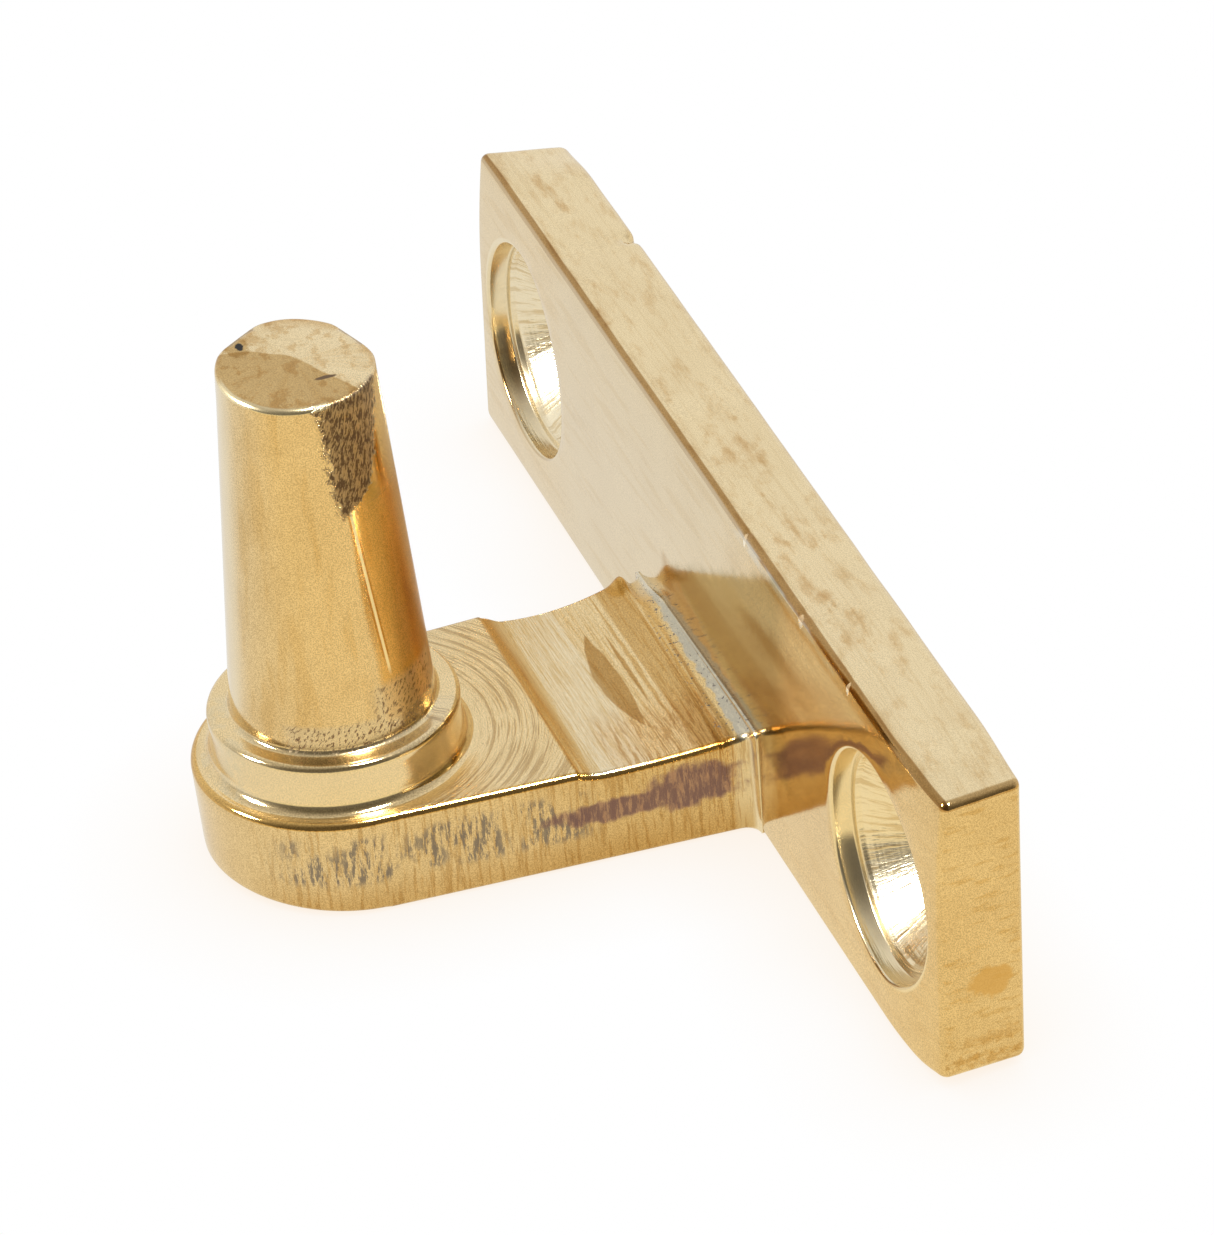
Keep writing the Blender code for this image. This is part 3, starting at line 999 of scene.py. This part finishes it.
def leaf(f, centre_y, middle_x, half_length, half_breadth, bend):
    """A long thin pointed patch lying across the arm."""
    g = f.g
    along = g.math("DIVIDE", g.minus(f.x, middle_x), half_length)
    square = g.math("POWER", along, 2.0)
    drift = g.times(square, bend)
    wander = g.times(g.noise(f.stretched(0.8, 1.0, 1.0), 1.4, 3.0), 0.16)
    offset = g.plus(g.minus(f.y, centre_y), g.plus(drift, wander))
    width = g.times(g.minus(1.0, square), half_breadth)
    return g.step(g.minus(width, g.math("ABSOLUTE", offset)), -0.03, 0.05)


def scoop_marks(f):
    """Bands of tone along the scoop, left by the wheel that cut it, and painted shade just past the seat's
    step.
    """
    g = f.g
    start = SEAT_END_Y / MM
    scoop = g.both(
        g.step(f.normal_z, 0.6, 0.85),
        g.step(f.y, start + 0.05, start + 0.15),
        g.step(f.y, -4.3, -4.6),
    )
    streaks = g.noise(f.stretched(0.22, 4.5, 0.0), 1.3, 4.0, 0.65)
    f.relief(g.both(scoop, streaks), 0.03)
    f.stain(g.both(scoop, g.band(f.y, -9.9, -7.7, 0.3), 0.6), STRAW)
    f.shade(g.both(scoop, g.step(streaks, 0.50, 0.64)), STREAKS_AND_STEP_SHADE)
    # Painted shade just past the seat's step.
    f.shade(g.both(scoop, g.band(f.y, start, start + 0.55, 0.2)), STREAKS_AND_STEP_SHADE)
    for leaf_place, colour in LEAVES:
        f.shade(g.both(scoop, leaf(f, *leaf_place)), colour)
    f.shade(g.both(scoop, g.band(f.y, -5.7, -4.75, 0.15)), SHADED)
    near = g.both(scoop, g.step(f.x, 1.5, 4.0), g.step(f.y, -9.6, -8.4))
    slant = g.noise(f.stretched(0.35, 3.6, 0.0), 1.6, 4.0, 0.7)
    f.shade(near, BLUSHED)
    f.shade(g.both(near, g.step(slant, 0.48, 0.58)), SMEARS_AND_EDGE_SHADE)
    f.dull(near, 0.25)


def seam_marks(f):
    """Grey strip where the arm runs into the plate, and a painted highlight on the near root fillet."""
    g = f.g
    border = g.plus(SEAM_Y / MM, g.times(f.x, SEAM_SKEW))
    past = g.minus(f.y, border)
    strip = g.both(g.step(past, -0.05, 0.05), g.step(f.normal_z, 0.2, 0.5))
    f.shade(strip, STREAKS_AND_STEP_SHADE)
    ragged = g.plus(past, g.times(g.noise(f.place, 1.5, 3.0), 0.5))
    grey = g.both(strip, g.step(ragged, 0.80, 0.92))
    f.stain(g.both(grey, 0.72), PEWTER, 0.3)
    f.stain(g.both(strip, g.step(f.x, -3.8, -5.2), 0.6), BUFF)
    patches = g.step(g.noise(f.stretched(0.5, 1.0, 1.0), 2.2, 4.0, 0.7), 0.52, 0.60)
    f.stain(g.both(grey, patches, 0.5), TAN)
    specks = g.step(g.noise(f.place, 4.5, 3.0, 0.7), 0.60, 0.66)
    f.stain(g.both(strip, specks), SPECK_GREY, 0.4)
    # Painted highlight on the near root fillet.
    column = g.both(g.step(f.x, 5.6, 6.0), g.step(f.y, -4.75, -4.40), g.step(f.normal_z, 0.5, 0.3))
    f.stain(g.both(column, 0.7), PALE_GOLD, 0.25)


def arm_side_marks(f):
    """Upright brush marks, tarnish specks and a purple-brown patch on the near side."""
    g = f.g
    side = g.both(g.step(f.normal_x, 0.45, 0.8), g.step(f.normal_z, 0.5, 0.3))
    brushed = g.noise(f.stretched(4.0, 4.0, 0.35), 1.5, 3.0, 0.7)
    f.relief(g.both(side, brushed), 0.02)
    f.shade(g.both(side, g.step(brushed, 0.48, 0.62)), BRUSHED)
    f.shade(g.both(side, g.step(f.z, -4.6, -6.3)), DULLED)
    f.shade(g.both(side, g.step(f.y, -15.0, -8.0)), STREAKS_AND_STEP_SHADE)
    ragged = g.noise(f.stretched(4.8, 4.8, 1.0), 1.0, 4.0, 0.75)
    clusters = g.step(g.noise(f.stretched(1.0, 1.0, 0.8), 0.55, 2.0), 0.38, 0.52)
    lower = g.both(g.band(f.z, -4.9, -3.3, 0.45), clusters)
    run = g.band(f.y, -21.0, -11.0, 1.5)
    f.stain(g.both(side, lower, run, g.step(ragged, 0.46, 0.56), 0.85), SPECK_GREY, 0.35)
    patch = f.spot((6.2, -6.2, -3.9), (2.0, 1.9, 1.0), 1.0, 1.6)
    tail = f.spot((6.0, -9.2, -4.2), (2.0, 2.6, 0.5), 1.0, 1.6)
    blotch = g.both(side, g.math("MAXIMUM", patch, tail))
    f.stain(g.both(blotch, 0.78), PURPLE_BROWN, 0.25)
    f.stain(g.both(blotch, g.step(ragged, 0.38, 0.54), 0.75), PURPLE_BLACK, 0.3)


def rim_gold(f):
    """Deeper gold along the rounded upper rim, painted shade that tones its highlight down to gold."""
    g = f.g
    rim = g.both(g.band(f.normal_z, 0.25, 0.93, 0.06), g.step(f.z, -3.4, -3.0), g.step(f.y, -4.3, -4.6))
    f.shade(rim, RIM_GOLD)


def arm_brass():
    f = Finish("worn_arm_brass")
    f.polish()
    rim_gold(f)
    seat_marks(f)
    scoop_marks(f)
    seam_marks(f)
    arm_side_marks(f)
    return f.done()


# ================================================================ brass of the pin
def turning_marks(f, turn):
    """Fine rings left by the lathe, with the tone wandering down the taper."""
    g = f.g
    rings = g.noise(g.join(g.times(f.z, 1.0), g.times(turn, 0.12)), 7.0, 3.0, 0.65)
    f.relief(rings, 0.0025)
    drawn = g.noise(g.join(g.times(turn, 2.6), g.times(f.z, 0.12)), 1.4, 3.0, 0.6)
    body = g.step(f.z, 0.1, 0.4)
    f.shade(g.both(body, g.step(drawn, 0.48, 0.64)), DRAWN)


def pin_sides(f, turn):
    """Painted reflections on the taper: a pale streak on the far left, amber and brown bands on the plate
    side, and a bright line with a dark edge.
    """
    g = f.g
    body = g.both(g.step(f.z, 0.3, 0.8), g.step(f.normal_z, 0.5, 0.3))
    # Painted reflection: a pale streak on the far left of the taper.
    f.stain(g.both(body, g.band(turn, -1.9, -1.2, 0.35), 0.65), PALE_GOLD)
    # Painted reflections of the plate: an amber band and a darker brown band beside it.
    below = g.step(f.z, 11.0, 9.0)
    warm = g.both(body, below, g.band(turn, 0.62, 1.5, 0.12))
    f.dull(warm, 0.34)
    f.shade(warm, PAINTED_PLATE_REFLECTION)
    f.shade(g.both(body, g.step(f.z, 13.0, 9.0), g.band(turn, 1.15, 1.7, 0.2)), PAINTED_DARK_REFLECTION)
    # Painted highlight line with a dark edge, at the border of the plate's reflection.
    centre = g.plus(0.50, g.times(g.minus(9.3, f.z), 0.027))
    offset = g.math("ABSOLUTE", g.minus(turn, centre))
    line = g.both(body, g.step(offset, 0.022, 0.010), g.band(f.z, 2.9, 9.3, 0.6))
    f.stain(line, PAINTED_HIGHLIGHT_GOLD, 0.5)
    dark = g.both(body, g.step(offset, 0.05, 0.03), g.band(f.z, 3.5, 9.3, 0.6))
    f.shade(g.both(dark, g.step(offset, 0.015, 0.025)), LINE_BROWN)


def slanted(f, turn, slant, across_scale, along_scale):
    """Strokes on the taper that lean to the right as they rise."""
    g = f.g
    around = g.times(turn, 3.1)
    across = g.minus(around, g.times(f.z, slant))
    along = g.plus(f.z, g.times(around, slant))
    place = g.join(g.times(across, across_scale), g.times(along, along_scale))
    return g.noise(place, 1.3, 3.0, 0.7)


def rough_patch(f, turn):
    """A torn, cross-hatched patch near the top of the taper, pointed at its lower end."""
    g = f.g
    rise = g.minus(f.z, 9.4)
    steep = g.plus(g.times(rise, 0.42), 0.40)
    upper = g.plus(g.times(rise, 0.11), 0.74)
    right = g.math("MINIMUM", steep, upper)
    left = g.minus(0.38, g.times(rise, 0.03))
    wander = g.times(g.minus(g.noise(f.place, 3.0, 4.0, 0.75), 0.5), 0.5)
    place = g.plus(turn, wander)
    inside = g.both(
        g.step(g.minus(right, place), -0.03, 0.05),
        g.step(g.minus(place, left), -0.03, 0.05),
        g.band(f.z, 9.2, 14.2, 0.15),
    )
    strokes = slanted(f, turn, 0.45, 8.5, 1.5)
    crossing = slanted(f, turn, 0.25, 6.5, 2.3)
    torn = g.times(strokes, crossing)
    f.stain(g.both(inside, 0.8), TORN_BROWN, 0.4)
    f.stain(g.both(inside, g.step(torn, 0.275, 0.225)), DARK_BROWN, 0.5)
    f.relief(g.both(inside, torn), 0.09)


def base_specks(f, turn):
    """Dark torn specks round the foot of the taper."""
    g = f.g
    specks = slanted(f, turn, 0.5, 7.0, 2.6)
    front = g.both(g.band(turn, -0.40, 0.60, 0.15), g.band(f.z, 0.0, 0.75, 0.3))
    right = g.both(g.band(turn, 0.55, 1.3, 0.2), g.band(f.z, 0.0, 1.9, 0.5))
    place = g.math("MAXIMUM", front, right)
    f.stain(g.both(place, 0.5), TAN, 0.3)
    f.stain(g.both(place, g.step(specks, 0.53, 0.58)), SPECK_BROWN, 0.45)
    collar = g.both(g.step(f.z, -0.25, -0.35), g.step(f.normal_z, 0.6, 0.3))
    f.stain(g.both(collar, 0.5), HOLE_GOLD, 0.22)
    left = g.both(g.band(turn, -1.6, -0.9, 0.2), g.band(f.z, -2.4, 0.2, 0.3))
    grey = g.step(g.noise(f.place, 1.6, 3.0), 0.42, 0.60)
    f.stain(g.both(left, grey, 0.22), GREY_GREEN)


def pin_top_marks(f, turn):
    """The sawn top: a painted darker reflection on the facet towards the front, tarnish smudges and a painted
    highlight on the front rim.
    """
    g = f.g
    top = g.both(g.step(f.z, 13.6, 13.9), g.step(f.normal_z, 0.55, 0.8))
    back = g.minus(f.y, PIN_Y / MM)
    ridge = g.minus(g.times(f.x, 0.55), g.times(back, 0.835))
    wander = g.times(g.noise(f.place, 0.8, 3.0), 0.5)
    along = g.plus(g.times(f.x, 0.835), g.times(back, 0.55))
    bend = g.times(g.math("POWER", g.math("MINIMUM", along, 0.0), 2.0), 0.19)
    # Painted darker reflection on the facet towards the front.
    lens = g.step(g.minus(g.plus(ridge, wander), bend), 0.12, 0.22)
    f.stain(g.both(top, 0.2), PALE_GOLD)
    f.shade(g.both(top, lens), HATCHED)
    rim = g.step(from_pin(f)[0], 2.0, 2.9)
    patchy = g.step(g.noise(f.place, 1.0, 4.0), 0.42, 0.58)
    f.shade(g.both(top, rim, g.step(ridge, 0.3, -0.3), patchy), RUBBED)
    smudge = g.step(g.noise(f.place, 1.3, 4.0, 0.65), 0.50, 0.62)
    f.shade(g.both(top, smudge), TARNISHED)
    # Painted highlight along the pin top's front rim.
    lip = g.both(
        g.band(f.z, 13.7, 14.5, 0.1),
        g.band(f.normal_z, 0.25, 0.9, 0.1),
        g.band(turn, -1.2, 0.3, 0.2),
    )
    f.stain(g.both(lip, 0.5), PAINTED_HIGHLIGHT_GOLD, 0.34)
    hatched = f.spot((-1.75, PIN_Y / MM - 1.75, 14.2), (0.8, 0.6, 2.0), 1.6, 3.0)
    f.shade(g.both(top, hatched), HATCHED)
    dot = f.spot((-1.65, PIN_Y / MM - 1.6, 14.2), (0.26, 0.16, 2.0), 1.4, 4.0)
    f.stain(g.both(top, dot), NEAR_BLACK, 0.5)
    dash = f.spot((1.35, PIN_Y / MM + 0.75, 14.2), (0.10, 0.42, 2.0), 0.6, 5.0)
    f.stain(g.both(top, dash), DARK_BROWN, 0.5)


def pin_brass():
    f = Finish("worn_pin_brass")
    f.polish()
    angle = from_pin(f)[1]
    facing = math.atan2(-AWAY.y, -AWAY.x)
    turn = f.g.minus(angle, facing)
    turning_marks(f, turn)
    pin_sides(f, turn)
    rough_patch(f, turn)
    base_specks(f, turn)
    pin_top_marks(f, turn)
    return f.done()


# ================================================================ studio
BACKDROP = Vector((-0.957, 0.290, 0.0))
BACKDROP_WHITE = (0.92, 0.95, 1.0)
OVERHEAD_GREY = (0.60, 0.60, 0.60)
CAMERA_SIDE_GREY = (0.16, 0.15, 0.13)
FLOOR_COOL = (0.84, 0.83, 0.82)
FLOOR_WARM = (0.93, 0.82, 0.58)
PAINTED_CONTACT_SHADOW = (0.97, 0.86, 0.74)
WHITE = (1.0, 1.0, 1.0)
FLOOR_HALF_WIDTH = 0.6
FLOOR_GAP = 0.04 * MM
CONTACT_REACH = 6 * MM
LIGHT_DISTANCE = 0.6
# Name, direction, width and height in metres, and power in watts.
SOFTBOXES = (
    ("softbox_left", (-0.12, -0.87, 0.5), (0.12, 0.16), 6.0),
    ("softbox_high", (0.34, 0.14, 0.93), (0.10, 0.14), 4.5),
)


def build_camera():
    azimuth = math.radians(CAMERA_AZIMUTH)
    elevation = math.radians(CAMERA_ELEVATION)
    roll = math.radians(CAMERA_ROLL)
    level_distance = math.cos(elevation)
    back = Vector((
        math.sin(azimuth) * level_distance,
        -math.cos(azimuth) * level_distance,
        math.sin(elevation),
    ))
    level = Vector((math.cos(azimuth), math.sin(azimuth), 0.0))
    upright = back.cross(level)
    right = level * math.cos(roll) + upright * math.sin(roll)
    up = back.cross(right)
    data = bpy.data.cameras.new("studio_camera")
    data.lens = CAMERA_LENS
    data.clip_start = 0.01
    camera = bpy.data.objects.new("studio_camera", data)
    bpy.context.scene.collection.objects.link(camera)
    rotation = Matrix((right, up, back)).transposed().to_4x4()
    camera.matrix_world = Matrix.Translation(CAMERA_TARGET + back * CAMERA_DISTANCE) @ rotation
    bpy.context.scene.camera = camera


def build_world():
    """White beyond the subject, grey overhead and dark behind the camera."""
    world = bpy.data.worlds.new("studio")
    bpy.context.scene.world = world
    world.use_nodes = True
    g = Graph(world.node_tree)
    direction = g.add("TexCoord").outputs["Generated"]
    away = g.dot(direction, BACKDROP)
    colour = g.mix(g.step(away, -0.75, 0.05), CAMERA_SIDE_GREY, OVERHEAD_GREY)
    colour = g.mix(g.step(away, 0.0, 0.65), colour, BACKDROP_WHITE)
    seen = g.add("LightPath").outputs["Is Camera Ray"]
    g.put(g.mix(seen, colour, WHITE), g.nodes["Background"].inputs["Color"])


def build_light(name, direction, size, power):
    data = bpy.data.lights.new(name, "AREA")
    data.shape = "RECTANGLE"
    data.size, data.size_y = size
    data.energy = power
    light = bpy.data.objects.new(name, data)
    bpy.context.scene.collection.objects.link(light)
    towards = Vector(direction).normalized()
    light.location = towards * LIGHT_DISTANCE
    light.rotation_euler = towards.to_track_quat("Z", "Y").to_euler()


def paper_material():
    """Plain white from above with a painted warm contact shadow near the object, a white that warms towards
    one end in reflections, clear from below.
    """
    material = bpy.data.materials.new("white_paper")
    material.use_nodes = True
    g = Graph(material.node_tree)
    g.nodes.remove(g.nodes["Principled BSDF"])
    place = g.add("NewGeometry").outputs["Position"]
    along = g.dot(place, (1.0, 0.0, 0.0))
    reflected = g.mix(g.step(along, -0.02, 0.03), FLOOR_COOL, FLOOR_WARM)
    # Painted contact shadow: the floor warms and darkens near the object through ambient occlusion.
    occlusion = g.add("AmbientOcclusion", {"Distance": CONTACT_REACH}, samples=16).outputs["AO"]
    seen = g.mix(occlusion, PAINTED_CONTACT_SHADOW, WHITE)
    ray = g.add("LightPath").outputs["Is Camera Ray"]
    glow = g.add("Emission", {"Color": g.mix(ray, reflected, seen)}).outputs[0]
    clear = g.add("BsdfTransparent").outputs[0]
    from_below = g.add("NewGeometry").outputs["Backfacing"]
    surface = g.add("MixShader", {0: from_below, 1: glow, 2: clear}).outputs[0]
    g.put(surface, g.nodes["Material Output"].inputs["Surface"])
    return material


def build_floor():
    bm = bmesh.new()
    bmesh.ops.create_grid(bm, x_segments=2, y_segments=2, size=FLOOR_HALF_WIDTH)
    floor = finish_mesh("paper_floor", bm)
    floor.location.z = UNDERSIDE_Z - FLOOR_GAP
    floor.data.materials.append(paper_material())


def build_studio():
    build_floor()
    build_world()
    for softbox in SOFTBOXES:
        build_light(*softbox)
    build_camera()
    bpy.context.scene.view_settings.view_transform = "Standard"


def main():
    for piece, node, slot, material in (
        (build_plate(), "fixing_plate", "plate_brass", plate_brass()),
        (build_arm(), "arm", "arm_brass", arm_brass()),
        (build_pin(), "stay_pin", "pin_brass", pin_brass()),
    ):
        piece.data.materials.append(material)
        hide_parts(node)
        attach(piece, "root")
    build_studio()


main()
